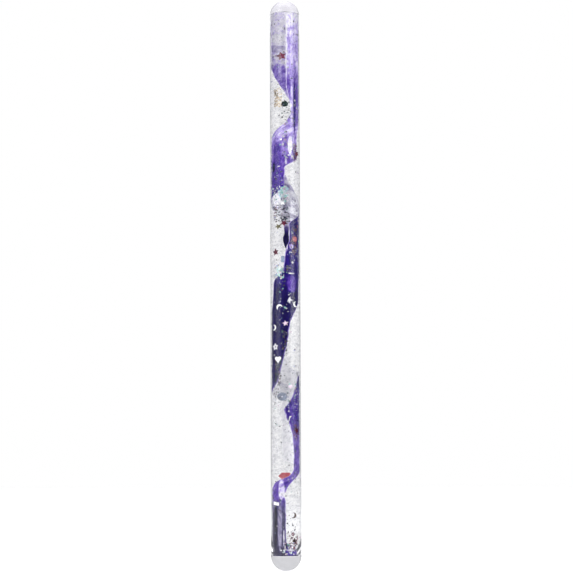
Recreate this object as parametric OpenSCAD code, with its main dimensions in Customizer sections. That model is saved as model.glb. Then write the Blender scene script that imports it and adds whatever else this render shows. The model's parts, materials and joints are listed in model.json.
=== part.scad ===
// Spiral glitter wand: a sealed clear tube filled with liquid, a spiral foil ribbon and loose
// glitter flakes. The wand stands along Z with its origin at the middle of the tube.

/* [Tube] */
// Overall length, from dome tip to dome tip
wand_length = 305; // [150:1:400]
// Outer diameter of the tube
tube_d = 16; // [15.4:0.1:24]
// Thickness of the tube's wall
wall = 2.3; // [1.5:0.1:2.5]

/* [End caps] */
// How far each cap's spigot reaches into the bore
spigot_h = 0.6; // [0.4:0.1:3]
// Radial clearance between a spigot and the bore, filled by cement
spigot_clearance = 0.05; // [0.02:0.01:0.1]
// Diameter of the filling hole through the top cap
fill_hole_d = 1.8; // [1:0.1:2.5]
// Distance of the filling hole from the wand's axis
fill_hole_offset = 2.6; // [0:0.1:3]
// Radial clearance of the plug in the filling hole
fill_plug_clearance = 0.02; // [0.01:0.01:0.05]

/* [Ribbon] */
// Width of the foil ribbon, measured across it
ribbon_w = 12.7; // [8:0.1:14]
// Thickness of the foil ribbon
ribbon_t = 0.16; // [0.1:0.01:0.3]
// Gap for the outer flakes, from the ribbon to a wall-to-wall line as wide as the widest of them
outer_gap = 0.38; // [0.37:0.01:0.5]

/* [Flakes] */
// Thickness of every flake
flake_t = 0.15; // [0.1:0.01:0.2]
// Clearance that a flake keeps from the wall and from the ribbon
flake_clearance = 0.06; // [0.03:0.01:0.08]
// Distance between the lanes of the loose flakes
lane_step = 0.3; // [0.25:0.01:0.35]
// Tip radius of the large stars
large_star_r = 2.5; // [1.8:0.1:3]
// Tip radius of the medium stars
star_r = 2; // [1.2:0.1:2.4]
// Tip radius of the small stars
small_star_r = 1.6; // [1:0.1:2]
// Radius of the round sequins
sequin_r = 2.2; // [1.2:0.1:2.4]
// Corner radius of the hexagons
hexagon_r = 1.7; // [1:0.1:2]
// Radius of the crescents
crescent_r = 1.5; // [1:0.1:2]
// Side of the square flakes
square_w = 2.2; // [1:0.1:2.6]
// Length of the strip flakes
strip_l = 3.4; // [2:0.1:3.8]
// Diameter of the fine dots that lie on the ribbon
dot_d = 0.7; // [0.4:0.1:1]

/* [Liquid] */
// Diameter of the still middle column of the liquid
column_d = 3; // [2:0.1:3.2]

/* [Hidden] */
$fn = 96;

tube_r = tube_d / 2;
bore_r = tube_r - wall;
tube_l = wand_length - tube_d;
chamber_h = tube_l / 2 - spigot_h;

// The ribbon turns in its own ring: flakes drift outside it and inside it
ribbon_sag = 0.1;
ribbon_end_gap = 0.3;
widest_flake = max(star_r, small_star_r, crescent_r, 0.55 * strip_l);
ribbon_r = sqrt(bore_r * bore_r - widest_flake * widest_flake) - outer_gap;
inner_r = ribbon_r - ribbon_t - ribbon_sag;
ribbon_h = chamber_h - ribbon_end_gap;

// The ribbon's middle line: [share of half the chamber's height, degrees from the front to +X].
// It turns unevenly, with straight stretches between quick twists.
RIBBON_TURN = [
    [-1, -790], [-0.8, -820], [-0.75, -790], [-0.7, -720], [-0.6, -690], [-0.45, -630],
    [-0.38, -530], [-0.2, -430], [-0.1, -360], [-0.05, -360], [0.05, -280], [0.2, -270],
    [0.25, -190], [0.28, -180], [0.33, -100], [0.4, -90], [0.53, -20], [0.6, 120],
    [0.7, 100], [0.86, 180], [1, 250]
];
turn_smoothing = 0.012;
ribbon_steps = 180;
ribbon_segments = 8;

dot_t = 0.08;
dot_gap = 0.02;

// Fine glitter on the ribbon: [share of half the chamber's height, degrees from its middle line]
DARK_DOTS = [
    [0.98, -20], [0.93, 40], [0.88, -50], [0.80, 10], [0.72, -30], [0.64, 30], [0.55, -10],
    [0.46, 45], [0.36, -40], [0.24, 20], [0.12, -15], [0.02, 50], [-0.10, -48], [-0.21, -62],
    [-0.24, -66], [-0.27, -58], [-0.38, 30], [-0.44, -25], [-0.52, 12], [-0.60, -55],
    [-0.66, 38], [-0.74, -8], [-0.82, 52], [-0.87, -36], [-0.93, 5], [-0.985, -28]
];
PALE_DOTS = [
    [0.95, 15], [0.84, -35], [0.76, 48], [0.59, -52], [0.50, 22], [0.41, -5], [0.30, -44],
    [0.18, 36], [0.07, -28], [-0.06, 18], [-0.16, 42], [-0.33, -12], [-0.48, 54],
    [-0.56, -32], [-0.70, 24], [-0.79, -46], [-0.90, 34], [-0.96, -14]
];

// Groups of equal flakes: [angle, share of half the chamber's height, spin]
REAR_STARS = [
    [150, 0.66, 10], [-150, 0.35, 30], [170, -0.05, 50], [-165, -0.4, 20], [145, -0.72, 60]
];
CRESCENTS = [[57, -0.094, 20], [-32, -0.105, -60], [-67, -0.179, 170]];

// Where the ribbon's middle line faces at a height, smoothed between the listed points
function turn_at(h) = let (s = h / chamber_h, d = turn_smoothing)
    (lookup(s - d, RIBBON_TURN) + 2 * lookup(s, RIBBON_TURN) + lookup(s + d, RIBBON_TURN)) / 4;

// A point at a radius, facing an angle from the front (-Y) towards +X
function facing(angle, r, h) = [r * sin(angle), -r * cos(angle), h];

// How far from the axis a flake's middle plane lies, so that its corners clear a round wall
function lane_r(wall_r, half_w) =
    sqrt(pow(wall_r - flake_clearance, 2) - half_w * half_w) - flake_t / 2;

// Lanes of the loose flakes inside the ribbon, one behind the other: [half width, offset to +X].
// The last front lane keeps its flake to the side, past the still middle column.
side_reach = inner_r - 0.7;
FRONT_ANGLE = -14;
FRONT_LANES = [
    [small_star_r, -0.3], [star_r, 0.4], [sequin_r, -0.7], [large_star_r, -0.7], [hexagon_r, 0.7],
    [0.7 * square_w, -0.8], [0.25 * strip_l, -0.5], [0.85 * star_r, 0.85 * star_r - side_reach]
];
RIGHT_ANGLE = 58;
RIGHT_LANES = [[0.9 * star_r, 0], [crescent_r, -0.3]];
REAR_ANGLE = 181;
REAR_LANES = [[1.2 * hexagon_r, 0]];

// Where lane k lies: clear of the ribbon, and at least a step behind the lane before it
function stack_r(lanes, k) = min(
    lane_r(inner_r, lanes[k][0] + abs(lanes[k][1])),
    k == 0 ? inner_r : stack_r(lanes, k - 1) - lane_step
);

// Lays a flat shape upright at a height, facing an angle
module facing_flake(angle, r, offset, share, spin) {
    rotate([0, 0, angle])
        translate([offset, -r, share * chamber_h])
            rotate([90, 0, 0])
                rotate([0, 0, spin])
                    linear_extrude(flake_t, center = true)
                        children();
}

// A flake between the ribbon and the wall
module outer_flake(angle, share, half_w, spin = 0)
    facing_flake(angle, lane_r(bore_r, half_w), 0, share, spin)
        children();

// A loose flake in a lane of a stack inside the ribbon
module inner_flake(angle, lanes, k, share, spin = 0)
    facing_flake(angle, stack_r(lanes, k), lanes[k][1], share, spin)
        children();

module star(r, waist = 0.42) {
    polygon([for (i = [0:9]) let (k = i % 2 == 0 ? r : r * waist) [k * sin(i * 36), k * cos(i * 36)]]);
}

module half_star(r) {
    intersection() {
        star(r);
        translate([-0.25 * r, -r])
            square([2 * r, 2 * r]);
    }
}

module crescent(r) {
    difference() {
        circle(r);
        translate([0.5 * r, 0])
            circle(0.85 * r);
    }
}

module heart(r) {
    lobe = 0.5 * r;
    for (side = [-1, 1])
        translate([side * 0.9 * lobe, 0.35 * r])
            circle(lobe);
    polygon([[-0.9 * r, 0.14 * r], [0, -r], [0.9 * r, 0.14 * r], [0, 0.6 * r]]);
}

module dome(r) {
    intersection() {
        sphere(r);
        translate([-r, -r, 0])
            cube([2 * r, 2 * r, r]);
    }
}

// A cap with its welded face at height 0 and its dome upwards
module cap() {
    dome(tube_r);
    translate([0, 0, -spigot_h])
        cylinder(h = spigot_h, r = bore_r - spigot_clearance);
}

module fill_hole(d, length) {
    translate([-fill_hole_offset, 0, -spigot_h])
        cylinder(h = length, d = d);
}

module clear_tube() color([0.86, 0.9, 0.93, 0.35])
    difference() {
        cylinder(h = tube_l, r = tube_r, center = true);
        cylinder(h = tube_l + 2, r = bore_r, center = true);
    }

module bottom_cap() color([0.8, 0.84, 0.88, 0.5])
    translate([0, 0, -tube_l / 2])
        mirror([0, 0, 1])
            cap();

module top_cap() color([0.8, 0.84, 0.88, 0.5])
    translate([0, 0, tube_l / 2])
        difference() {
            cap();
            translate([0, 0, -1])
                fill_hole(fill_hole_d, tube_r + spigot_h + 2);
        }

// The plug ends level with the low edge of the hole in the dome
module fill_hole_plug() color([0.6, 0.62, 0.64]) {
    dome_h = sqrt(tube_r * tube_r - pow(fill_hole_offset + fill_hole_d / 2, 2));
    translate([0, 0, tube_l / 2])
        fill_hole(fill_hole_d - 2 * fill_plug_clearance, spigot_h + dome_h);
}

module filling_liquid() color([0.9, 0.93, 1, 0.3])
    cylinder(h = 2 * chamber_h, d = column_d, center = true);

// A strip of foil wound to the right about the axis, curved to lie along the wall
module spiral_foil_ribbon() color([0.36, 0.22, 0.62]) {
    lead = 2 * PI * ribbon_r * abs(turn_at(ribbon_h) - turn_at(-ribbon_h)) / 360;
    half_arc = 90 / PI * ribbon_w / ribbon_r * sqrt(1 + pow(lead / (2 * ribbon_h), 2));
    ring = 2 * (ribbon_segments + 1);
    points = [
        for (i = [0:ribbon_steps]) let (h = ribbon_h * (2 * i / ribbon_steps - 1))
            for (j = [0:ring - 1]) let (
                outside = j <= ribbon_segments,
                k = outside ? j : ring - 1 - j
            )
                facing(turn_at(h) + half_arc * (2 * k / ribbon_segments - 1),
                    outside ? ribbon_r : ribbon_r - ribbon_t, h)
    ];
    sides = [
        for (i = [0:ribbon_steps - 1])
            for (j = [0:ring - 1]) let (n = (j + 1) % ring, a = i * ring, b = a + ring)
                each j <= ribbon_segments
                    ? [[a + j, b + j, a + n], [a + n, b + j, b + n]]
                    : [[a + j, b + j, b + n], [a + j, b + n, a + n]]
    ];
    ends = [
        for (k = [0:ribbon_segments - 1]) let (o = ring - 1 - k, top = ribbon_steps * ring)
            each [
                [k, k + 1, o], [k + 1, o - 1, o],
                [top + k, top + o, top + k + 1], [top + k + 1, top + o, top + o - 1]
            ]
    ];
    polyhedron(points = points, faces = concat(sides, ends), convexity = 10);
}

// Dots that cling to the ribbon's outer face and turn with it
module ribbon_dots(places) {
    for (place = places)
        let (h = place[0] * ribbon_h)
            rotate([0, 0, turn_at(h) + place[1]])
                translate([0, -ribbon_r - dot_gap, h])
                    rotate([90, 0, 0])
                        cylinder(h = dot_t, d = dot_d, $fn = 6);
}

module ribbon_dark_dots() color([0.1, 0.09, 0.14]) ribbon_dots(DARK_DOTS);

module ribbon_pale_dots() color([0.85, 0.86, 0.9]) ribbon_dots(PALE_DOTS);

module burgundy_star_upper() color([0.45, 0.14, 0.2])
    inner_flake(FRONT_ANGLE, FRONT_LANES, 3, 0.84, spin = 12)
        star(large_star_r, 0.5);

module burgundy_star_edge() color([0.42, 0.14, 0.22])
    outer_flake(74, 0.47, star_r, spin = 30)
        star(star_r);

module burgundy_star_middle() color([0.35, 0.16, 0.26])
    inner_flake(FRONT_ANGLE, FRONT_LANES, 1, 0.207, spin = 40)
        star(star_r);

module burgundy_star_tilted() color([0.32, 0.13, 0.2])
    outer_flake(-55, 0.1, star_r, spin = 8)
        star(star_r, 0.5);

module burgundy_star_lower() color([0.42, 0.13, 0.22])
    outer_flake(65, -0.555, star_r, spin = 20)
        star(star_r);

module brown_star() color([0.3, 0.2, 0.22])
    inner_flake(RIGHT_ANGLE, RIGHT_LANES, 0, -0.95, spin = 10)
        star(0.9 * star_r, 0.55);

module gold_star() color([0.4, 0.37, 0.25])
    inner_flake(FRONT_ANGLE, FRONT_LANES, 7, 0.196, spin = 25)
        star(0.85 * star_r);

module white_star() color([0.93, 0.93, 0.95])
    inner_flake(FRONT_ANGLE, FRONT_LANES, 0, 0.282, spin = 15)
        star(small_star_r);

module silver_half_star() color([0.8, 0.8, 0.86])
    outer_flake(19, -0.079, star_r, spin = -20)
        half_star(star_r);

module silver_ring_star() color([0.8, 0.78, 0.85])
    outer_flake(-59, -0.25, star_r, spin = 5)
        difference() {
            star(star_r, 0.55);
            circle(0.2 * star_r);
        }

module pink_stars() color([0.82, 0.72, 0.8]) {
    outer_flake(0, -0.165, small_star_r, spin = 10)
        star(small_star_r);
    outer_flake(25, -0.395, small_star_r, spin = 40)
        star(small_star_r);
}

module rear_stars() color([0.7, 0.68, 0.76])
    for (place = REAR_STARS)
        outer_flake(place[0], place[1], star_r, spin = place[2])
            star(star_r);

module silver_heart() color([0.9, 0.88, 0.95])
    outer_flake(-41, -0.297, 0.92 * star_r)
        heart(0.92 * star_r);

module round_sequin() color([0.6, 0.62, 0.7])
    inner_flake(FRONT_ANGLE, FRONT_LANES, 2, -0.432)
        difference() {
            circle(sequin_r);
            circle(0.18 * sequin_r);
        }

module red_sequin() color([0.75, 0.38, 0.45])
    outer_flake(53, 0.148, 0.6 * sequin_r)
        circle(0.6 * sequin_r);

module green_hexagon() color([0.15, 0.22, 0.2])
    inner_flake(FRONT_ANGLE, FRONT_LANES, 4, 0.657, spin = 15)
        circle(hexagon_r, $fn = 6);

module red_hexagon() color([0.75, 0.4, 0.42])
    inner_flake(REAR_ANGLE, REAR_LANES, 0, -0.719)
        circle(1.2 * hexagon_r, $fn = 6);

module silver_crescents() color([0.88, 0.9, 0.95])
    for (place = CRESCENTS)
        outer_flake(place[0], place[1], crescent_r, spin = place[2])
            crescent(crescent_r);

module brown_crescent() color([0.35, 0.24, 0.2])
    inner_flake(RIGHT_ANGLE, RIGHT_LANES, 1, -0.86, spin = 160)
        crescent(crescent_r);

module holographic_squares() color([0.62, 0.85, 0.78])
    for (place = [[0.322, 30], [0.033, 10]])
        inner_flake(FRONT_ANGLE, FRONT_LANES, 5, place[0], spin = place[1])
            square(square_w, center = true);

module blue_strip() color([0.72, 0.82, 0.95])
    inner_flake(FRONT_ANGLE, FRONT_LANES, 6, 0.074)
        square([0.4 * strip_l, strip_l], center = true);

module white_strip() color([0.95, 0.9, 0.97])
    outer_flake(-55, -0.818, 0.55 * strip_l, spin = -8)
        square([strip_l, 0.5 * strip_l], center = true);

clear_tube();
bottom_cap();
top_cap();
fill_hole_plug();
filling_liquid();
spiral_foil_ribbon();
ribbon_dark_dots();
ribbon_pale_dots();
burgundy_star_upper();
burgundy_star_edge();
burgundy_star_middle();
burgundy_star_tilted();
burgundy_star_lower();
brown_star();
gold_star();
white_star();
silver_half_star();
silver_ring_star();
pink_stars();
rear_stars();
silver_heart();
round_sequin();
red_sequin();
green_hexagon();
red_hexagon();
silver_crescents();
brown_crescent();
holographic_squares();
blue_strip();
white_strip();
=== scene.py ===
"""Looks of the spiral glitter wand: clear casing, liquid, foil ribbon and glitter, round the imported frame.

The wand stands along Z, in metres. Angles run in degrees from the front (-Y) towards +X. A share
is a height divided by half the chamber's height, or by half the ribbon's for the foil itself.
Small sizes are written in millimetres times MM.
"""

import json
import math
import random

import bpy
from mathutils import Matrix, Vector, noise


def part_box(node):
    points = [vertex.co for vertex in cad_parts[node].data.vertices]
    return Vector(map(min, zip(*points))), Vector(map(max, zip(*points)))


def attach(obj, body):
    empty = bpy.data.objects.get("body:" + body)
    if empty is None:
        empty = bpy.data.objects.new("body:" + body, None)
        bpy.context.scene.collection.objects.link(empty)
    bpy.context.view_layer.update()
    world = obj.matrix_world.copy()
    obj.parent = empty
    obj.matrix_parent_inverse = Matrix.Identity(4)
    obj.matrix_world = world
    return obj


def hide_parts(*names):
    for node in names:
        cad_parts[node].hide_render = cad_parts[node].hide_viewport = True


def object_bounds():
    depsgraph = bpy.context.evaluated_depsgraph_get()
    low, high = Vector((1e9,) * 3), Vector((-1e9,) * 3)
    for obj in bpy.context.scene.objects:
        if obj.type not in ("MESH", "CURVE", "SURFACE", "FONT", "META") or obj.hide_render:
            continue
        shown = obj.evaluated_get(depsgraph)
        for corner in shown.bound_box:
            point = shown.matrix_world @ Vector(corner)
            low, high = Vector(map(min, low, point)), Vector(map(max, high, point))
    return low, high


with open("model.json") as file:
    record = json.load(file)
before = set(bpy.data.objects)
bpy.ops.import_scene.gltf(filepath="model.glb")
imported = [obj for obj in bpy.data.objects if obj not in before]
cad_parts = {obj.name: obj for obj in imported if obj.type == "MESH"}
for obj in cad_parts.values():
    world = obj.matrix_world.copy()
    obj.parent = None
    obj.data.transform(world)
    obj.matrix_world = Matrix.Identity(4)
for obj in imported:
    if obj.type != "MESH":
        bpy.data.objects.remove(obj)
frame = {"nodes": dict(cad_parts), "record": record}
cad_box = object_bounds()

MM = 0.001

# ---------------------------------------------------------------- sizes, from the frame
TUBE_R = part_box("clear_tube")[1].x
TUBE_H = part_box("clear_tube")[1].z
WAND_H = cad_box[1].z
CHAMBER_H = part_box("filling_liquid")[1].z
RIBBON_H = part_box("spiral_foil_ribbon")[1].z
PLUG_LO, PLUG_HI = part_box("fill_hole_plug")
BORE_R = 5.7 * MM

# ---------------------------------------------------------------- sizes, chosen
SPIGOT_GAP = 0.05 * MM  # between a cap's spigot and the bore
LIQUID_GAP = 0.01 * MM  # between the liquid and the faces that hold it
DOME_STEPS = 24
FOIL_R = 4.95 * MM  # the foil's outermost radius
FOIL_THICKNESS = 0.03 * MM
FOIL_DEPTH = 0.12 * MM  # how far the deepest crinkle stands in
FOIL_ROWS = 1000
FOIL_COLUMNS = 50
EDGE_REACH = 0.006  # how far, in shares, the ribbon's edges are smoothed
EDGE_RIPPLE = 4  # degrees
RIPPLE_RATE = 40
RIM_HIGHLIGHT_COLUMNS = 2  # columns of the outer face along each edge that are paled as a painted highlight
PATCH_HARDNESS = 1.6

# The ribbon's two long edges: share, degrees
LEFT_EDGE = [
    (-1, -880), (-0.8, -880), (-0.74, -780), (-0.72, -700), (-0.7, -675), (-0.62, -675), (-0.56, -690),
    (-0.48, -730), (-0.44, -690), (-0.36, -640), (-0.33, -560), (-0.24, -525), (-0.16, -505),
    (-0.08, -445), (-0.01, -440), (0.03, -370), (0.1, -360), (0.14, -340), (0.21, -340), (0.24, -260),
    (0.36, -195), (0.42, -170), (0.54, -95), (0.58, -5), (0.62, 35), (0.66, 30), (0.72, 5), (1, 5),
]
RIGHT_EDGE = [
    (-1, -650), (-0.97, -660), (-0.96, -720), (-0.81, -720), (-0.79, -730), (-0.76, -710),
    (-0.73, -670), (-0.7, -600), (-0.66, -530), (-0.44, -525), (-0.41, -455), (-0.38, -405),
    (-0.33, -385), (-0.24, -350), (-0.16, -335), (-0.13, -310), (-0.08, -265), (0, -260), (0.03, -210),
    (0.09, -200), (0.13, -175), (0.22, -175), (0.31, -95), (0.33, -5), (0.42, 0), (0.45, 80),
    (0.53, 80), (0.71, 180), (0.8, 225), (0.82, 260), (1, 260),
]

# Tone along the foil, the painted highlights, reflections and shade of the film, from 0 (nearly black) to 1
# (nearly white), on its outer and its inner face, and how grey it is, from 0 (purple) to 1 (silver)
OUTER_TONE = [
    (-1, 0.25), (-0.95, 0.28), (-0.83, 0.35), (-0.8, 0.52), (-0.7, 0.5), (-0.6, 0.55), (-0.55, 0.4),
    (-0.48, 0.3), (-0.42, 0.45), (-0.38, 0.2), (-0.3, 0.05), (-0.2, 0.05), (-0.05, 0.05), (0, 0.2),
    (0.05, 0.2), (0.2, 0.15), (0.3, 0.35), (0.36, 0.4), (0.44, 0.5), (0.5, 0.65), (0.57, 0.8),
    (0.6, 0.6), (0.7, 0.5), (0.76, 0.6), (0.82, 0.8), (0.9, 0.75), (0.96, 0.9), (1, 1),
]
INNER_TONE = [
    (-1, 0.9), (-0.75, 1.1), (-0.2, 1.1), (0, 0.95), (0.1, 0.4), (0.18, 0.25), (0.22, 0.85),
    (0.32, 0.9), (0.4, 0.8), (0.6, 0.95), (0.7, 0.8), (0.78, 0.85), (0.9, 1), (1, 1),
]
OUTER_GREY = [
    (-1, 0.8), (-0.85, 0.75), (-0.8, 0.1), (-0.42, 0.2), (-0.37, 0.4), (-0.3, 0.1), (-0.2, 0),
    (0, 0), (1, 0.1),
]
INNER_GREY = [
    (-0.7, 0.9), (-0.2, 0.9), (0, 0.6), (0.1, 0.3), (0.18, 0.3), (0.22, 0.9), (0.32, 0.85),
    (0.4, 0.5), (0.6, 0.6), (0.7, 0.15), (1, 0.2),
]

# Painted highlights and painted shade, in stripes, creases and patches: share, degrees, half height, half
# width in degrees, tone, grey
OUTER_PATCHES = [
    (0.88, 0, 0.04, 20, 0.8, 0.2), (0.65, 60, 0.11, 10, 0.2, 0.0), (0.65, 40, 0.11, 10, 0.8, 0.1),
    (0.5, 30, 0.04, 15, 1.0, 0.3), (0.45, -50, 0.07, 30, 0.4, 0.0), (0.37, -25, 0.05, 25, 0.4, 0.0),
    (0.42, -75, 0.02, 15, 0.1, 0.4), (0.44, 5, 0.015, 5, 1.0, 0.6), (0.18, 20, 0.045, 4, 1.0, 0.3),
    (0.12, 10, 0.02, 4, 0.95, 0.3), (0.12, 35, 0.01, 15, 0.85, 0.2), (-0.02, 40, 0.035, 35, 0.4, 0.0),
    (-0.48, 50, 0.05, 30, 0.35, 0.0), (-0.77, -60, 0.04, 30, 0.5, 0.0), (-0.77, -25, 0.04, 20, 0.9, 0.1),
    (-0.9, -65, 0.09, 15, 0.05, 0.8), (-0.9, -35, 0.09, 15, 0.6, 0.8), (-0.94, -12, 0.035, 3, 1.0, 0.6),
    (-0.94, -3, 0.035, 6, 0.0, 0.6), (-0.98, 30, 0.02, 40, 0.35, 0.0), (-0.98, 25, 0.005, 25, 1.0, 0.4),
]
INNER_PATCHES = [
    (0.88, -150, 0.015, 40, 0.75, 0.6), (0.92, -155, 0.02, 30, 1.1, 0.9),
    (0.77, -160, 0.055, 35, 0.7, 0.0), (0.14, -180, 0.045, 15, 0.1, 0.3),
    (0.3, -150, 0.02, 20, 1.1, 0.9),
]


def lookup(table, x):
    """Straight-line value of a table of (x, value) rows."""
    if x <= table[0][0]:
        return table[0][1]
    for (x0, y0), (x1, y1) in zip(table, table[1:]):
        if x <= x1:
            return y0 + (y1 - y0) * (x - x0) / (x1 - x0)
    return table[-1][1]


def edge_at(table, share):
    """Where one of the ribbon's edges faces, in degrees, smoothed a little between the listed points."""
    near = lookup(table, share - EDGE_REACH) + lookup(table, share + EDGE_REACH)
    return (near + 2 * lookup(table, share)) / 4


def painted(patches, share, angle, tone, grey):
    """Tone, the painted light and shade, and grey at a point of the foil, after the patches that reach it.
    """
    for at_share, at_angle, half_h, half_w, new_tone, new_grey in patches:
        across = (angle - at_angle + 180) % 360 - 180
        reach = 1.0 - math.hypot((share - at_share) / half_h, across / half_w) ** 4
        if reach > 0:
            weight = min(1.0, PATCH_HARDNESS * reach)
            tone += (new_tone - tone) * weight
            grey += (new_grey - grey) * weight
    return tone, grey


def facing(angle, r, z):
    """A point at a radius and a height, facing an angle in degrees."""
    a = math.radians(angle)
    return Vector((r * math.sin(a), -r * math.cos(a), z))


# ---------------------------------------------------------------- material helpers
class Nodes:
    """Short calls for a node tree."""

    def __init__(self, tree):
        self.tree = tree
        tree.nodes.clear()

    def add(self, kind, **settings):
        node = self.tree.nodes.new(kind)
        for key, value in settings.items():
            setattr(node, key, value)
        return node

    def link(self, out, to):
        self.tree.links.new(out, to)

    def math(self, operation, a, b=0.0, clamp=False):
        node = self.add("ShaderNodeMath", operation=operation, use_clamp=clamp)
        for socket, value in zip(node.inputs, (a, b)):
            self.put(value, socket)
        return node.outputs[0]

    def mix(self, share, a, b):
        node = self.add("ShaderNodeMix", data_type="RGBA")
        self.put(share, node.inputs["Factor"])
        self.put(a, node.inputs[6])
        self.put(b, node.inputs[7])
        return node.outputs[2]

    def put(self, value, socket):
        """Links a socket's output, or sets a colour or a number."""
        if hasattr(value, "is_linked"):
            self.link(value, socket)
        elif isinstance(value, (tuple, list)):
            socket.default_value = (*value, 1.0)[:4]
        else:
            socket.default_value = value

    def ramp(self, share, *stops, interpolation="LINEAR"):
        node = self.add("ShaderNodeValToRGB")
        node.color_ramp.interpolation = interpolation
        elements = node.color_ramp.elements
        while len(elements) < len(stops):
            elements.new(0.5)
        for element, (place, colour) in zip(elements, stops):
            element.position = place
            element.color = (*colour, 1.0)
        self.put(share, node.inputs[0])
        return node.outputs[0]

    def noise(self, vector, scale, detail=3.0, roughness=0.5, distortion=0.0):
        node = self.add("ShaderNodeTexNoise")
        node.inputs["Scale"].default_value = scale
        node.inputs["Detail"].default_value = detail
        node.inputs["Roughness"].default_value = roughness
        node.inputs["Distortion"].default_value = distortion
        self.link(vector, node.inputs["Vector"])
        return node.outputs[0]

    def stretched(self, vector, scale):
        node = self.add("ShaderNodeMapping")
        node.inputs["Scale"].default_value = scale
        self.link(vector, node.inputs["Vector"])
        return node.outputs[0]

    def attribute(self, name):
        return self.add("ShaderNodeAttribute", attribute_name=name).outputs["Fac"]

    def place(self):
        """Where the shaded point lies in its piece's own space."""
        return self.add("ShaderNodeTexCoord").outputs["Object"]

    def bump(self, height, strength, distance):
        node = self.add("ShaderNodeBump")
        node.inputs["Strength"].default_value = strength
        node.inputs["Distance"].default_value = distance
        self.link(height, node.inputs["Height"])
        return node.outputs[0]

    def principled(self, **values):
        node = self.add("ShaderNodeBsdfPrincipled")
        for key, value in values.items():
            self.put(value, node.inputs[key.replace("_", " ")])
        return node

    def surface(self, shader):
        out = self.add("ShaderNodeOutputMaterial")
        self.link(shader, out.inputs["Surface"])


def material(name):
    """A new material and short calls for its nodes."""
    made = bpy.data.materials.new(name)
    made.use_nodes = True
    return made, Nodes(made.node_tree)


TRAPPED_DEPTH = 3.5  # light that has bounced more often than this counts as trapped
ACRYLIC_IOR = 1.47


def lets_light_in(n, seen):
    """A clear face for shadows and scattered light, and for light that has bounced along the tube.

    So both reach what is behind it, and the casing doesn't trap light until it looks black.
    """
    clear = n.add("ShaderNodeBsdfTransparent")
    clear.inputs[0].default_value = (1, 1, 1, 1)
    path = n.add("ShaderNodeLightPath")
    pick = n.add("ShaderNodeMixShader")
    soft = n.math("MAXIMUM", path.outputs["Is Shadow Ray"], path.outputs["Is Diffuse Ray"])
    trapped = n.math("GREATER_THAN", path.outputs["Ray Depth"], TRAPPED_DEPTH)
    n.link(n.math("MAXIMUM", soft, trapped), pick.inputs[0])
    n.link(seen, pick.inputs[1])
    n.link(clear.outputs[0], pick.inputs[2])
    return pick.outputs[0]


# ---------------------------------------------------------------- materials
def acrylic(name, face, edge, haze_scale):
    """Polished acrylic: clear face on, tinted greyer as painted shade where the wall is seen along its
    surface.
    """
    made, n = material(name)
    facing_share = n.add("ShaderNodeLayerWeight")
    facing_share.inputs["Blend"].default_value = 0.5
    haze = n.noise(n.place(), haze_scale, 2.0)
    clear = n.ramp(haze, (0.3, [0.96 * c for c in face]), (0.7, face))
    share = n.ramp(facing_share.outputs["Facing"], (0.55, (0, 0, 0)), (0.97, (1, 1, 1)))
    tint = n.mix(share, clear, edge)
    shader = n.principled(Base_Color=tint, Roughness=0.0, IOR=ACRYLIC_IOR, Transmission_Weight=1.0)
    n.surface(lets_light_in(n, shader.outputs[0]))
    return made


def optical_joint(name):
    """A face where acrylic and liquid meet: their indices are so close that it doesn't show."""
    made, n = material(name)
    clear = n.add("ShaderNodeBsdfTransparent")
    specks = n.noise(n.place(), 650.0, 4.0, 0.7)
    # The specks stand for fine bubbles; the grey they spread all over is painted shade that dims what is
    # seen through the tube.
    tint = n.ramp(
        specks, (0.34, (0.78, 0.785, 0.8)), (0.48, (0.92, 0.92, 0.93)), (0.62, (0.99, 0.99, 0.985)),
    )
    n.link(tint, clear.inputs[0])
    n.surface(lets_light_in(n, clear.outputs[0]))
    return made


def cement():
    """The cemented ring where a cap meets the tube: pale and a little cloudy."""
    made, n = material("cement")
    shade = n.ramp(n.noise(n.place(), 900.0), (0.3, (0.78, 0.77, 0.83)), (0.7, (0.92, 0.92, 0.95)))
    n.surface(n.principled(Base_Color=shade, Roughness=0.8).outputs[0])
    return made


def ribbon_foil():
    """Metallised film: indigo to lilac and grey to silver by tone, its painted light and shade, with streaks
    and fine crinkles.
    """
    made, n = material("ribbon_foil")
    uv = n.add("ShaderNodeUVMap", uv_map="strip").outputs[0]
    streaks = n.noise(n.stretched(uv, (1.0, 0.38, 1.0)), 0.9, 4.0, 0.68, 0.8)
    fine = n.noise(uv, 2.8, 3.0, 0.65)
    blotch = n.noise(n.stretched(uv, (1.0, 0.6, 1.0)), 0.3, 3.0, 0.6, 1.2)
    uneven = n.math("SUBTRACT", streaks, 0.5)
    uneven = n.math("ADD", uneven, n.math("MULTIPLY", n.math("SUBTRACT", blotch, 0.5), 1.2))
    uneven = n.math("ADD", uneven, n.math("MULTIPLY", n.math("SUBTRACT", fine, 0.5), 0.65))
    liveliness = n.math("ADD", n.math("MULTIPLY", n.attribute("tone"), 0.6), 0.2)
    tone = n.math("ADD", n.attribute("tone"), n.math("MULTIPLY", uneven, liveliness), clamp=True)
    purple = n.ramp(
        tone, (0.0, (0.006, 0.003, 0.06)), (0.15, (0.014, 0.005, 0.14)), (0.3, (0.03, 0.008, 0.24)),
        (0.5, (0.13, 0.06, 0.44)), (0.7, (0.34, 0.24, 0.71)), (0.85, (0.64, 0.55, 0.93)),
        (1.0, (0.94, 0.92, 0.99)),
    )
    silver = n.ramp(
        tone, (0.0, (0.008, 0.008, 0.012)), (0.3, (0.06, 0.058, 0.08)), (0.5, (0.18, 0.17, 0.24)),
        (0.7, (0.38, 0.37, 0.45)), (0.85, (0.66, 0.66, 0.72)), (1.0, (0.97, 0.97, 0.99)),
    )
    colour = n.mix(n.attribute("grey"), purple, silver)
    normal = n.bump(fine, 0.4, 0.0003)
    shader = n.principled(Base_Color=colour, Metallic=0.3, Roughness=0.32, Normal=normal)
    shader.inputs["Specular IOR Level"].default_value = 0.15
    n.surface(shader.outputs[0])
    return made


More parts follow.
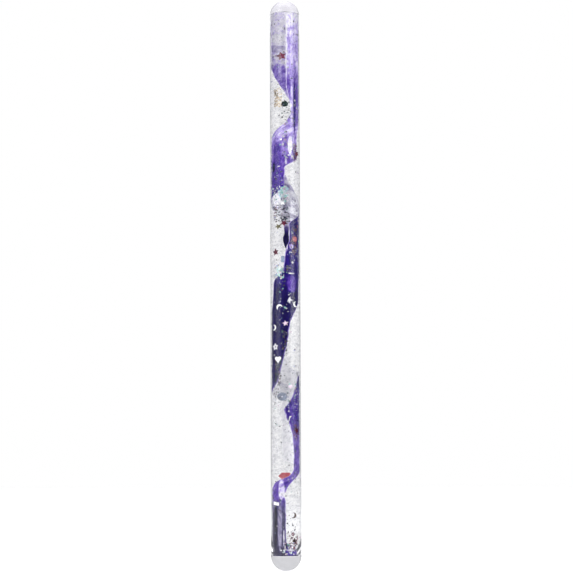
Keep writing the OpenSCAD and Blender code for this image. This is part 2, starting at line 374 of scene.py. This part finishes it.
def flake_foil(name, dark, light, metallic=0.45, roughness=0.22, scale=900.0):
    """Punched glitter film of one colour, mottled between a dark and a light shade."""
    made, n = material(name)
    place = n.place()
    mottle = n.noise(place, scale, 3.0, 0.6)
    colour = n.ramp(mottle, (0.35, dark), (0.65, light))
    normal = n.bump(n.noise(place, scale * 2.2, 2.0), 0.2, 0.0001)
    shader = n.principled(Base_Color=colour, Metallic=metallic, Roughness=roughness, Normal=normal)
    n.surface(shader.outputs[0])
    return made


def holographic(name, base):
    """Diffracting film: small cells of rainbow colour over a base colour."""
    made, n = material(name)
    cells = n.add("ShaderNodeTexVoronoi", voronoi_dimensions="3D")
    cells.inputs["Scale"].default_value = 1700.0
    n.link(n.place(), cells.inputs["Vector"])
    hue = n.add("ShaderNodeSeparateColor")
    n.link(cells.outputs["Color"], hue.inputs[0])
    rainbow = n.ramp(
        hue.outputs[0], (0.0, (0.05, 0.35, 0.25)), (0.2, (0.35, 0.9, 0.75)), (0.4, (0.3, 0.45, 0.95)),
        (0.6, (0.8, 0.85, 0.95)), (0.8, (0.75, 0.35, 0.8)), (1.0, (0.85, 0.85, 0.3)),
    )
    shader = n.principled(Base_Color=n.mix(0.55, base, rainbow), Metallic=0.5, Roughness=0.2)
    n.surface(shader.outputs[0])
    return made


def many_coloured(name, stops):
    """Fine glitter: each bit takes its own colour from a ramp, by its own random share."""
    made, n = material(name)
    share = n.attribute("bit_share")
    mottle = n.noise(n.place(), 1500.0, 2.0)
    colour = n.ramp(share, *stops, interpolation="CONSTANT")
    colour = n.mix(n.math("MULTIPLY", mottle, 0.25), colour, (0.9, 0.9, 0.95))
    shader = n.principled(Base_Color=colour, Metallic=0.5, Roughness=0.2)
    n.surface(shader.outputs[0])
    return made


# ---------------------------------------------------------------- mesh helpers
def piece(name, verts, faces, body, *materials, smooth=True, slots=None):
    """A mesh that rides on a body, with a material slot for each face where they are given."""
    mesh = bpy.data.meshes.new(name)
    mesh.from_pydata([tuple(v) for v in verts], [], faces)
    for m in materials:
        mesh.materials.append(m)
    if slots is not None:
        mesh.polygons.foreach_set("material_index", slots)
    mesh.polygons.foreach_set("use_smooth", [smooth] * len(mesh.polygons))
    mesh.validate()
    mesh.update()
    made = bpy.data.objects.new(name, mesh)
    bpy.context.scene.collection.objects.link(made)
    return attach(made, body)


def spin(profile, around=128, closed=False):
    """Turns a profile of (radius, height) points about Z.

    Returns points, faces and, for each face, the number of its span of the profile.
    """
    verts, faces, spans = [], [], []
    rings = []
    for r, z in profile:
        if r < 1e-9:
            rings.append([len(verts)])
            verts.append((0, 0, z))
        else:
            rings.append([len(verts) + k for k in range(around)])
            for k in range(around):
                a = 2 * math.pi * k / around
                verts.append((r * math.cos(a), r * math.sin(a), z))
    pairs = list(zip(rings, rings[1:]))
    if closed:
        pairs.append((rings[-1], rings[0]))
    for span, (low, high) in enumerate(pairs):
        for k in range(around):
            n = (k + 1) % around
            if len(low) == 1:
                faces.append((low[0], high[n], high[k]))
            elif len(high) == 1:
                faces.append((low[k], low[n], high[0]))
            else:
                faces.append((low[k], low[n], high[n], high[k]))
            spans.append(span)
    return verts, faces, spans


# ---------------------------------------------------------------- casing
def casing():
    """The tube with its cemented ends, and the two domed caps with their spigots."""
    wall = acrylic("clear_acrylic", (1.0, 1.0, 1.0), (0.7, 0.71, 0.74), 60.0)
    # The domes are the tube's acrylic, tinted greyer as painted shade: the top one lilac grey, the bottom
    # one darker.
    domes = {
        "top_dome": acrylic("top_dome_acrylic", (0.87, 0.855, 0.92), (0.5, 0.5, 0.54), 260.0),
        "bottom_dome": acrylic("bottom_dome_acrylic", (0.68, 0.68, 0.71), (0.3, 0.3, 0.32), 260.0),
    }
    joint = optical_joint("wetted_face")
    rows = 24
    outer = [(TUBE_R, -TUBE_H + 2 * TUBE_H * k / rows) for k in range(rows + 1)]
    inner = [(BORE_R, z) for _, z in reversed(outer)]
    verts, faces, spans = spin(outer + inner, closed=True)
    ends = (rows, 2 * rows + 1)  # the spans that are the tube's flat end rings
    slots = [0 if s < rows else 2 if s in ends else 1 for s in spans]
    tube = piece("casing_tube", verts, faces, "wand", wall, joint, cement(), slots=slots)
    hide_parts("clear_tube")
    for name, node, side in (("top_dome", "top_cap", 1), ("bottom_dome", "bottom_cap", -1)):
        spigot_r = BORE_R - SPIGOT_GAP
        profile = [(0, CHAMBER_H), (spigot_r, CHAMBER_H), (spigot_r, TUBE_H), (TUBE_R, TUBE_H)]
        flat = len(profile) - 1
        for k in range(1, DOME_STEPS + 1):
            a = math.pi / 2 * k / DOME_STEPS
            r = TUBE_R * math.cos(a) if k < DOME_STEPS else 0
            profile.append((r, TUBE_H + TUBE_R * math.sin(a)))
        verts, faces, spans = spin(profile)
        if side < 0:
            verts = [(x, y, -z) for x, y, z in verts]
            faces = [f[::-1] for f in faces]
        slots = [1 if s < flat else 0 for s in spans]
        cap = piece(name, verts, faces, "wand", domes[name], joint, slots=slots)
        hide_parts(node)


def hole_seal():
    """The cured drop of glue that closes the filling hole: a hollow curl with a grey rim."""
    made, n = material("seal")
    shade = n.ramp(n.noise(n.place(), 1400.0, 3.0), (0.35, (0.5, 0.5, 0.51)), (0.65, (0.8, 0.8, 0.82)))
    n.surface(n.principled(Base_Color=shade, Roughness=0.35, IOR=ACRYLIC_IOR).outputs[0])
    radius = (PLUG_HI.x - PLUG_LO.x) / 2
    centre = (PLUG_LO + PLUG_HI) / 2
    thick, sunk, deep, lip = 0.22 * MM, 0.15 * MM, 0.7 * MM, 0.1 * MM
    high = PLUG_HI.z - sunk
    low = high - deep
    profile = [(radius, low), (radius, high), (radius - thick, high + lip), (radius - thick, low)]
    verts, faces, _ = spin(profile, 48, closed=True)
    verts = [(x + centre.x, y + centre.y, z) for x, y, z in verts]
    seal = piece("hole_seal", verts, faces, "wand", made)
    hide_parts("fill_hole_plug")


def liquid():
    """The liquid, as the whole filling of the bore."""
    made, n = material("liquid")
    clear = n.add("ShaderNodeBsdfTransparent")
    tint = n.ramp(n.noise(n.place(), 40.0), (0.2, (0.985, 0.985, 0.998)), (0.8, (1, 1, 1)))
    n.link(tint, clear.inputs[0])
    n.surface(clear.outputs[0])
    r, end = BORE_R - LIQUID_GAP, CHAMBER_H - LIQUID_GAP
    rows = 12
    side = [(r, -CHAMBER_H + 2 * CHAMBER_H * k / rows) for k in range(1, rows)]
    profile = [(0, -end), (r, -end)] + side + [(r, end), (0, end)]
    verts, faces, _ = spin(profile, 96)
    fill = piece("liquid_filling", verts, faces, "wand", made)
    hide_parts("filling_liquid")


# ---------------------------------------------------------------- ribbon
def crinkle(u, z):
    """How far the foil stands in from its outer radius, from 0 to 1: long soft waves and sharp folds.

    The foil is taken to be 12.7 mm wide everywhere, so the folds gather where it narrows.
    """
    along, across = z / MM, u * 6.35
    wave = noise.noise(Vector((across * 0.28, along * 0.09, 3.1)))
    fold = abs(noise.noise(Vector((across * 0.2 + along * 0.05, along * 0.13, 7.7))))
    fine = noise.noise(Vector((across * 0.6, along * 0.35, 11.3)))
    return min(1.0, max(0.0, 0.45 + 0.45 * wave - 0.9 * fold + 0.2 * fine + 0.15))


def ribbon():
    """The spiral foil, as one closed strip whose width and tone, its painted light and shade, change along
    it.
    """
    rows, columns = FOIL_ROWS, FOIL_COLUMNS
    verts, tones, greys, uvs = [], [], [], []
    for tone_table, grey_table, patches, inset in (
        (OUTER_TONE, OUTER_GREY, OUTER_PATCHES, 0.0),
        (INNER_TONE, INNER_GREY, INNER_PATCHES, FOIL_THICKNESS),
    ):
        for i in range(rows + 1):
            share = 2 * i / rows - 1
            z = share * RIBBON_H
            ripple = [EDGE_RIPPLE * noise.noise(Vector((at, share * RIPPLE_RATE, 0))) for at in (2.5, 5.5)]
            left = edge_at(LEFT_EDGE, share) + ripple[0]
            right = edge_at(RIGHT_EDGE, share) + ripple[1]
            near = [p for p in patches if abs(p[0] - share) < p[2]]
            row_tone, row_grey = lookup(tone_table, share), lookup(grey_table, share)
            for j in range(columns + 1):
                u = 2 * j / columns - 1
                angle = left + (right - left) * j / columns
                across = math.radians(angle - left) * FOIL_R / MM
                verts.append(facing(angle, FOIL_R - FOIL_DEPTH * crinkle(u, z) - inset, z))
                tone, grey = painted(near, share, angle, row_tone, row_grey)
                # painted highlight: the outer face's edge columns are paled as if the rims caught the light
                if inset == 0.0 and min(j, columns - j) < RIM_HIGHLIGHT_COLUMNS:
                    tone, grey = 0.5 * tone + 0.55, 0.5 * grey + 0.2
                tones.append(tone)
                greys.append(grey)
                uvs.append((across, z / MM))
    wide = columns + 1
    sheet = (rows + 1) * wide  # points in one face of the strip
    faces = []
    for i in range(rows):
        for j in range(columns):
            a, b, c, d = i * wide + j, i * wide + j + 1, (i + 1) * wide + j + 1, (i + 1) * wide + j
            faces += [(a, b, c, d), (a + sheet, d + sheet, c + sheet, b + sheet)]
    rim = [i * wide for i in range(rows + 1)]
    rim += [rows * wide + j for j in range(1, wide)]
    rim += [i * wide + columns for i in range(rows - 1, -1, -1)]
    rim += [j for j in range(columns - 1, 0, -1)]
    for a, b in zip(rim, rim[1:] + rim[:1]):
        faces.append((a, b, b + sheet, a + sheet))
    strip = piece("foil_ribbon", verts, faces, "ribbon", ribbon_foil())
    mesh = strip.data
    for name, values in (("tone", tones), ("grey", greys)):
        mesh.attributes.new(name, "FLOAT", "POINT").data.foreach_set("value", values)
    layer = mesh.uv_layers.new(name="strip")
    for loop in mesh.loops:
        layer.data[loop.index].uv = uvs[loop.vertex_index]
    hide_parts("spiral_foil_ribbon")


# ---------------------------------------------------------------- fine glitter
ASPECTS = {"rod": 0.3, "square": 1, "sliver": 0.12}  # width over length of the four-sided bits
STAR_WAIST = 0.45
BIT_THICKNESS = 0.025 * MM


def plate(kind, size):
    """Outline of one bit of glitter. The size is half its length, or its radius."""
    if kind in ASPECTS:
        half_w = ASPECTS[kind] * size
        return [(-half_w, -size), (half_w, -size), (half_w, size), (-half_w, size)]
    if kind == "star":
        radii = [size, STAR_WAIST * size] * 5
        return [
            (r * math.sin(math.radians(36 * k)), r * math.cos(math.radians(36 * k)))
            for k, r in enumerate(radii)
        ]
    corners = {"triangle": 3, "hexagon": 6, "dot": 14}[kind]
    return [
        (size * math.cos(2 * math.pi * k / corners), size * math.sin(2 * math.pi * k / corners))
        for k in range(corners)
    ]


class Bits:
    """Collects thin plates into one mesh, each with its own colour share."""

    def __init__(self):
        self.verts, self.faces, self.shares = [], [], []

    def add(self, kind, size, angle, r, z, turn, share):
        outline = plate(kind, size)
        start, count = len(self.verts), len(outline)
        place = (
            Matrix.Rotation(math.radians(angle), 4, "Z")
            @ Matrix.Translation((0, -r, z))
            @ Matrix.Rotation(math.radians(90), 4, "X")
            @ Matrix.Rotation(math.radians(turn), 4, "Z")
        )
        for side in (-0.5, 0.5):
            for x, y in outline:
                self.verts.append(place @ Vector((x, y, side * BIT_THICKNESS)))
        self.faces.append(tuple(range(start + count - 1, start - 1, -1)))
        self.faces.append(tuple(range(start + count, start + 2 * count)))
        for k in range(count):
            n = (k + 1) % count
            self.faces.append((start + k, start + n, start + count + n, start + count + k))
        self.shares += [share] * (2 * count)

    def make(self, name, body, look, slot):
        made = piece(name, self.verts, self.faces, body, look, smooth=False)
        share = made.data.attributes.new("bit_share", "FLOAT", "POINT")
        share.data.foreach_set("value", self.shares)
        return made


# The three layers of fine glitter: "ribbon" lies on the foil's outside, "inside" in the foil's hollow,
# both turning with it, and "wand" against the bore. Each keeps to radii, in mm, that leave the lanes of
# the sliding flakes free.
LAYER_RADII = {"ribbon": (5.0, 5.06), "inside": (4.68, 4.74), "wand": (5.655, 5.67)}
NOTED_R = 5.04  # of a noted bit on the ribbon
WALL_REACH_R = 5.685  # the farthest that a noted bit's ends may reach towards the bore
WALL_GAP = 0.02
LEAST_SLIVER_WIDTH = 0.12  # a sliver that stands nearly upright still has this share of its size across
GLITTER_SEED = 11
NOTED_SHADE = 0.1

# Bits that can be told apart: look, kind, half size in mm, degrees, share, turn, layer
NOTED_BITS = [
    ("dark", "dot", 0.4, -80, 0.96, 0, "wand"), ("dark", "dot", 0.35, -55, 0.96, 0, "wand"),
    ("dark", "rod", 0.6, 0, 0.94, 20, "wand"), ("dark", "sliver", 0.6, -30, 0.97, 50, "wand"),
    ("dark", "dot", 0.4, -30, 0.61, 0, "wand"), ("dark", "dot", 0.3, -35, 0.73, 0, "wand"),
    ("dark", "sliver", 0.55, 5, 0.63, 80, "wand"), ("dark", "sliver", 0.55, 15, 0.63, 80, "wand"),
    ("dark", "sliver", 0.55, 25, 0.63, 80, "wand"), ("dark", "sliver", 0.55, 10, 0.62, 100, "wand"),
    ("dark", "sliver", 0.55, 20, 0.62, 100, "wand"), ("dark", "sliver", 0.55, 30, 0.62, 100, "wand"),
    ("dark", "sliver", 0.55, 15, 0.6, 75, "wand"), ("dark", "sliver", 0.55, 25, 0.6, 75, "wand"),
    ("dark", "sliver", 0.55, 35, 0.6, 75, "wand"), ("bright", "sliver", 0.55, 55, 0.76, 90, "wand"),
    # painted reflection: these bright squares are real shards, and their white stands for the light they
    # throw back
    ("bright", "square", 0.5, -20, 0.52, 10, "wand"), ("bright", "square", 0.45, -5, 0.53, 35, "wand"),
    # painted reflection: the bright rod on this line is a real shard, and its white stands for the light it
    # throws back
    ("bright", "rod", 0.7, -35, 0.42, 90, "ribbon"), ("dark", "dot", 0.4, 60, 0.4, 0, "wand"),
    ("dark", "hexagon", 0.55, -5, 0.3, 0, "wand"), ("dark", "sliver", 0.55, -60, 0.3, 80, "wand"),
    # painted highlight: the long bright sliver on this line is a glint, put in as a white plate
    ("dark", "dot", 0.35, 55, 0.29, 0, "wand"), ("bright", "sliver", 4.0, -15, 0.14, 3, "wand"),
    ("dark", "triangle", 0.55, -45, 0.07, 90, "wand"), ("dark", "dot", 0.35, -35, 0.05, 0, "wand"),
    ("dark", "triangle", 0.8, 26, 0.04, 90, "ribbon"), ("dark", "triangle", 0.8, 13, 0.045, 90, "ribbon"),
    ("dark", "triangle", 0.8, 13, 0.035, 90, "ribbon"), ("bright", "rod", 0.8, 26, 0.02, 90, "ribbon"),
    ("bright", "rod", 0.8, 42, 0.02, 90, "ribbon"),
    ("bright", "hexagon", 0.45, 5, -0.11, 0, "ribbon"), ("bright", "star", 0.7, -70, -0.28, 0, "ribbon"),
    ("dark", "dot", 0.35, 10, -0.23, 0, "wand"), ("dark", "dot", 0.35, 5, -0.26, 0, "wand"),
    ("dark", "dot", 0.35, 50, -0.26, 0, "wand"), ("dark", "dot", 0.35, 55, -0.32, 0, "wand"),
    ("dark", "sliver", 1.3, 65, -0.35, 10, "wand"), ("dark", "hexagon", 0.55, 55, -0.4, 0, "wand"),
    ("dark", "hexagon", 0.55, 20, -0.45, 0, "wand"), ("dark", "dot", 0.35, 0, -0.47, 0, "wand"),
    ("dark", "dot", 0.35, 10, -0.42, 0, "wand"), ("dark", "dot", 0.35, -55, -0.53, 0, "wand"),
    # painted highlight: the bright sliver on this line is a glint, put in as a white plate
    ("dark", "dot", 0.35, -30, -0.54, 0, "wand"), ("bright", "sliver", 2.0, 15, -0.52, -15, "wand"),
    ("dark", "dot", 0.35, 50, -0.63, 0, "wand"), ("dark", "dot", 0.35, 15, -0.68, 0, "wand"),
    ("dark", "dot", 0.35, 45, -0.68, 0, "wand"), ("dark", "dot", 0.35, 50, -0.73, 0, "wand"),
    ("dark", "triangle", 0.55, 0, -0.79, 90, "wand"), ("dark", "dot", 0.35, 45, -0.91, 0, "wand"),
    # painted highlights: the bright hexagons on these two lines are glints, put in as white plates
    ("dark", "dot", 0.35, 10, -0.92, 0, "wand"), ("bright", "hexagon", 0.5, 30, -0.97, 0, "wand"),
    ("bright", "hexagon", 0.4, -5, -0.97, 0, "wand"), ("bright", "hexagon", 0.4, -25, -0.98, 0, "wand"),
    ("maroon", "triangle", 0.5, -48, 0.84, 180, "wand"),
    ("maroon", "triangle", 0.42, -60, 0.84, 180, "wand"),
    ("maroon", "triangle", 0.3, -72, 0.84, 180, "wand"),
]

# Clusters: look, layer, count, share, degrees, half height, half width in degrees, sizes in mm
CLUSTERS = [
    ("dark", "inside", 100, 0.25, -165, 0.035, 28, (0.14, 0.36)),
    ("bright", "inside", 40, 0.26, -160, 0.04, 30, (0.12, 0.3)),
    ("dark", "ribbon", 80, -0.24, -5, 0.05, 14, (0.15, 0.4)),
    ("dark", "ribbon", 110, -0.34, -45, 0.05, 22, (0.15, 0.45)),
    ("bright", "ribbon", 30, -0.34, -45, 0.05, 20, (0.1, 0.25)),
    ("maroon", "ribbon", 60, 0.47, 66, 0.035, 16, (0.15, 0.4)),
    ("maroon", "ribbon", 60, 0.14, 50, 0.05, 26, (0.15, 0.4)),
    ("maroon", "wand", 30, -0.56, 62, 0.03, 20, (0.15, 0.4)),
    ("tan", "wand", 90, 0.68, -36, 0.035, 20, (0.3, 0.55)),
    ("bright", "wand", 60, 0.31, -25, 0.03, 45, (0.2, 0.5)),
    ("bright", "wand", 50, 0.03, -35, 0.03, 28, (0.2, 0.5)),
    ("bright", "ribbon", 60, 0.5, 25, 0.05, 40, (0.2, 0.5)),
    ("bright", "ribbon", 14, -0.09, 20, 0.05, 50, (0.15, 0.45)),
    ("mint", "wand", 60, 0.32, -6, 0.022, 22, (0.25, 0.5)),
    ("mint", "wand", 36, 0.028, -35, 0.025, 26, (0.2, 0.5)),
    ("bright", "ribbon", 60, -0.975, 30, 0.02, 50, (0.2, 0.5)),
    ("bright", "wand", 50, -0.43, 40, 0.06, 40, (0.15, 0.45)),
    ("dark", "wand", 30, -0.93, 30, 0.05, 30, (0.15, 0.45)),
    ("maroon", "wand", 30, -0.95, 48, 0.03, 22, (0.2, 0.5)),
    ("dark", "wand", 60, -0.4, -50, 0.06, 25, (0.1, 0.35)),
    ("dark", "wand", 36, 0.63, 8, 0.04, 22, (0.12, 0.4)),
    ("dark", "wand", 50, -0.85, 45, 0.08, 40, (0.08, 0.25)),
    ("maroon", "wand", 30, -0.95, 30, 0.03, 26, (0.25, 0.5)),
    ("maroon", "ribbon", 50, 0.15, 62, 0.05, 20, (0.25, 0.5)),
    ("dark", "wand", 30, 0.3, -8, 0.012, 16, (0.1, 0.3)),
    ("dark", "wand", 45, -0.42, 40, 0.05, 40, (0.08, 0.2)),
]


# Bits strewn all over: look, layer, count, sizes in mm
STREWN = [
    ("dark", "ribbon", 520, (0.12, 0.45)), ("bright", "ribbon", 560, (0.12, 0.5)),
    ("dark", "inside", 420, (0.08, 0.3)), ("bright", "inside", 260, (0.1, 0.3)),
    ("dark", "wand", 320, (0.07, 0.24)), ("bright", "wand", 520, (0.1, 0.3)),
]
EDGE_MARGIN = 8  # degrees that strewn bits keep from the ribbon's edges
BARE_STRETCH = (-0.3, 0)  # shares between which the foil's outside carries few bright bits
BARENESS = 0.75


def glitter():
    """All the fine bits, in one mesh for each layer and look."""
    looks = {
        "dark": ("dark_glitter", many_coloured("dark_bits", [
            (0.0, (0.01, 0.012, 0.02)), (0.3, (0.03, 0.05, 0.05)), (0.5, (0.05, 0.07, 0.14)),
            (0.7, (0.12, 0.02, 0.04)), (0.85, (0.02, 0.09, 0.08)),
        ])),
        "bright": ("pale_glitter", many_coloured("bright_bits", [
            (0.0, (0.95, 0.95, 0.97)), (0.4, (0.8, 0.85, 0.95)), (0.6, (0.9, 0.65, 0.8)),
            (0.75, (0.4, 0.85, 0.75)), (0.88, (0.5, 0.55, 0.95)),
        ])),
        "maroon": ("burgundy_foil", many_coloured("maroon_bits", [
            (0.0, (0.12, 0.012, 0.035)), (0.4, (0.05, 0.01, 0.03)), (0.7, (0.35, 0.08, 0.13)),
        ])),
        "mint": ("holographic_foil", many_coloured("mint_bits", [
            (0.0, (0.45, 0.92, 0.78)), (0.45, (0.85, 0.97, 0.93)), (0.75, (0.5, 0.75, 0.95)),
        ])),
        "tan": ("gold_foil", many_coloured("tan_bits", [
            (0.0, (0.55, 0.42, 0.27)), (0.4, (0.75, 0.66, 0.5)), (0.8, (0.3, 0.24, 0.16)),
        ])),
    }
    rng = random.Random(GLITTER_SEED)
    kinds = ("hexagon", "rod", "square", "triangle")
    heaps = {}

    def drop(look, layer, kind, size, angle, r, share, turn, colour):
        heap = heaps.setdefault((look, layer), Bits())
        heap.add(kind, size * MM, angle, r * MM, share * CHAMBER_H, turn, colour)

    for look, layer, count, sizes in STREWN:
        for _ in range(count):
            share = rng.uniform(-0.99, 0.99)
            angle = rng.uniform(-180, 180)
            bare = layer == "ribbon" and look == "bright" and BARE_STRETCH[0] < share < BARE_STRETCH[1]
            if bare and rng.random() < BARENESS:
                continue
            if layer != "wand":
                left, right = edge_at(LEFT_EDGE, share), edge_at(RIGHT_EDGE, share)
                angle = rng.uniform(left + EDGE_MARGIN, right - EDGE_MARGIN)
            size = sizes[0] + (sizes[1] - sizes[0]) * rng.random() ** 2
            drop(look, layer, rng.choice(kinds), size, angle, rng.uniform(*LAYER_RADII[layer]), share,
                 rng.uniform(0, 360), rng.random())
    for look, layer, count, share, angle, half_h, half_w, sizes in CLUSTERS:
        for _ in range(count):
            drop(look, layer, rng.choice(kinds), rng.uniform(*sizes), angle + rng.uniform(-half_w, half_w),
                 rng.uniform(*LAYER_RADII[layer]), share + rng.uniform(-half_h, half_h),
                 rng.uniform(0, 360), rng.random())
    for look, kind, size, angle, share, turn, layer in NOTED_BITS:
        r = NOTED_R
        if layer == "wand":
            half_w = size
            if kind == "sliver":
                half_w = size * max(LEAST_SLIVER_WIDTH, abs(math.sin(math.radians(turn))))
            r = math.sqrt(WALL_REACH_R ** 2 - half_w ** 2) - WALL_GAP
        drop(look, layer, kind, size, angle, r, share, turn, NOTED_SHADE)
    for (look, layer), heap in heaps.items():
        body = "wand" if layer == "wand" else "ribbon"
        heap.make(f"{layer}_{look}_bits", body, looks[look][1], looks[look][0])


# ---------------------------------------------------------------- carried-over flakes
def flake_looks():
    """Gives each flake kept from the CAD the foil that its record names."""
    foils = {
        "burgundy_foil": flake_foil("burgundy_foil", (0.1, 0.012, 0.03), (0.24, 0.035, 0.08)),
        "brown_foil": flake_foil("brown_foil", (0.06, 0.035, 0.035), (0.16, 0.09, 0.08)),
        "gold_foil": flake_foil("gold_foil", (0.1, 0.09, 0.04), (0.32, 0.29, 0.14)),
        "white_foil": flake_foil("white_foil", (0.95, 0.95, 0.97), (1.0, 1.0, 1.0), 0.0, 0.4),
        "silver_foil": flake_foil("silver_foil", (0.7, 0.7, 0.78), (0.98, 0.98, 1.0), 0.15, 0.3),
        "pink_foil": flake_foil("pink_foil", (0.8, 0.55, 0.72), (0.98, 0.86, 0.95), 0.15, 0.3),
        "sequin_foil": flake_foil("sequin_foil", (0.2, 0.24, 0.34), (0.5, 0.55, 0.65)),
        "red_foil": flake_foil("red_foil", (0.62, 0.12, 0.15), (0.9, 0.36, 0.38)),
        "dark_green_foil": flake_foil("dark_green_foil", (0.006, 0.012, 0.012), (0.03, 0.06, 0.05)),
        "holographic_foil": holographic("holographic_foil", (0.5, 0.85, 0.75)),
        "blue_foil": flake_foil("blue_foil", (0.45, 0.6, 0.88), (0.7, 0.82, 0.96)),
        "dark_glitter": flake_foil("dark_glitter", (0.01, 0.01, 0.02), (0.05, 0.06, 0.1)),
        "pale_glitter": flake_foil("pale_glitter", (0.7, 0.72, 0.8), (0.95, 0.95, 0.98)),
    }
    for row in frame["record"]["subparts"]:
        look = foils.get(row["material_slot"])
        if look:
            frame["nodes"][row["node"]].data.materials[0] = look


# ---------------------------------------------------------------- studio
PANELS = 3  # soft panels round the wand, seen only in reflections
FLOOR_R = 3.0
FLOOR_GAP = 0.2 * MM
FLOOR_GLOW = 0.05


def studio():
    """White surroundings, soft lamps and a pale floor."""
    scene = bpy.context.scene
    scene.view_settings.view_transform = "Standard"
    scene.cycles.max_bounces = 48
    scene.cycles.transmission_bounces = 48
    scene.cycles.transparent_max_bounces = 160
    scene.cycles.caustics_refractive = False
    scene.cycles.caustics_reflective = False

    world = bpy.data.worlds.new("studio")
    world.use_nodes = True
    scene.world = world
    n = Nodes(world.node_tree)
    direction = n.add("ShaderNodeSeparateXYZ")
    n.link(n.add("ShaderNodeTexCoord").outputs["Generated"], direction.inputs[0])
    angle = n.math("ARCTAN2", direction.outputs[0], direction.outputs[1])
    wave = n.math("COSINE", n.math("MULTIPLY", angle, PANELS))
    stripes = n.math("MULTIPLY", n.math("ADD", wave, 1.0), 0.5)
    panels = n.ramp(stripes, (0.2, (0.06, 0.06, 0.08)), (0.6, (0.3, 0.3, 0.33)), (1.0, (1.4, 1.4, 1.4)))
    path = n.add("ShaderNodeLightPath")
    mirrored = n.math("GREATER_THAN", path.outputs["Glossy Depth"], 0.5)
    room = n.add("ShaderNodeBackground")
    n.link(n.mix(mirrored, (1.0, 1.0, 1.0), panels), room.inputs[0])
    n.link(room.outputs[0], n.add("ShaderNodeOutputWorld").inputs[0])

    for name, place, size, power in (
        ("key", (-0.7, -0.9, 0.7), 0.6, 3.0), ("fill", (0.9, -0.6, 0.3), 0.6, 1.5),
        ("top", (0.0, 0.1, 1.1), 1.0, 3.0),
    ):
        data = bpy.data.lights.new(name, "AREA")
        data.size = size
        data.energy = power
        lamp = bpy.data.objects.new(name, data)
        lamp.location = place
        lamp.rotation_mode = "QUATERNION"
        lamp.rotation_quaternion = (-Vector(place)).to_track_quat("-Z", "Y")
        scene.collection.objects.link(lamp)

    made, n = material("pale_floor")
    shade = n.ramp(n.noise(n.place(), 6.0), (0.3, (0.985, 0.985, 0.985)), (0.7, (1.0, 1.0, 1.0)))
    shader = n.principled(
        Base_Color=shade, Roughness=0.9, Emission_Color=(1, 1, 1), Emission_Strength=FLOOR_GLOW,
    )
    n.surface(shader.outputs[0])
    around = 64
    mesh = bpy.data.meshes.new("floor")
    ring = [facing(360 * k / around + 90, FLOOR_R, -WAND_H - FLOOR_GAP) for k in range(around)]
    mesh.from_pydata(ring, [], [tuple(range(around))])
    mesh.materials.append(made)
    floor = bpy.data.objects.new("floor", mesh)
    scene.collection.objects.link(floor)


def camera():
    """In front of the wand and a little below its middle, so that the lower end is the nearer one."""
    distance, below, lean = 0.8, math.radians(7), math.radians(-0.19)
    margin, aside = 1.006, 0.6 * MM
    data = bpy.data.cameras.new("camera")
    made = bpy.data.objects.new("camera", data)
    bpy.context.scene.collection.objects.link(made)
    back = Vector((0, -math.cos(below), -math.sin(below)))
    top = WAND_H * math.cos(below) / (distance + WAND_H * math.sin(below))
    bottom = WAND_H * math.cos(below) / (distance - WAND_H * math.sin(below))
    data.lens = data.sensor_width / (top + bottom) / margin
    aim = Vector((aside, 0, distance * (top - bottom) / 2 / math.cos(below)))
    made.location = back * distance
    made.rotation_mode = "QUATERNION"
    look = (aim - made.location).to_track_quat("-Z", "Y")
    made.rotation_quaternion = look @ Matrix.Rotation(lean, 4, "Z").to_quaternion()
    bpy.context.scene.camera = made


camera()
casing()
hole_seal()
liquid()
ribbon()
glitter()
flake_looks()
studio()
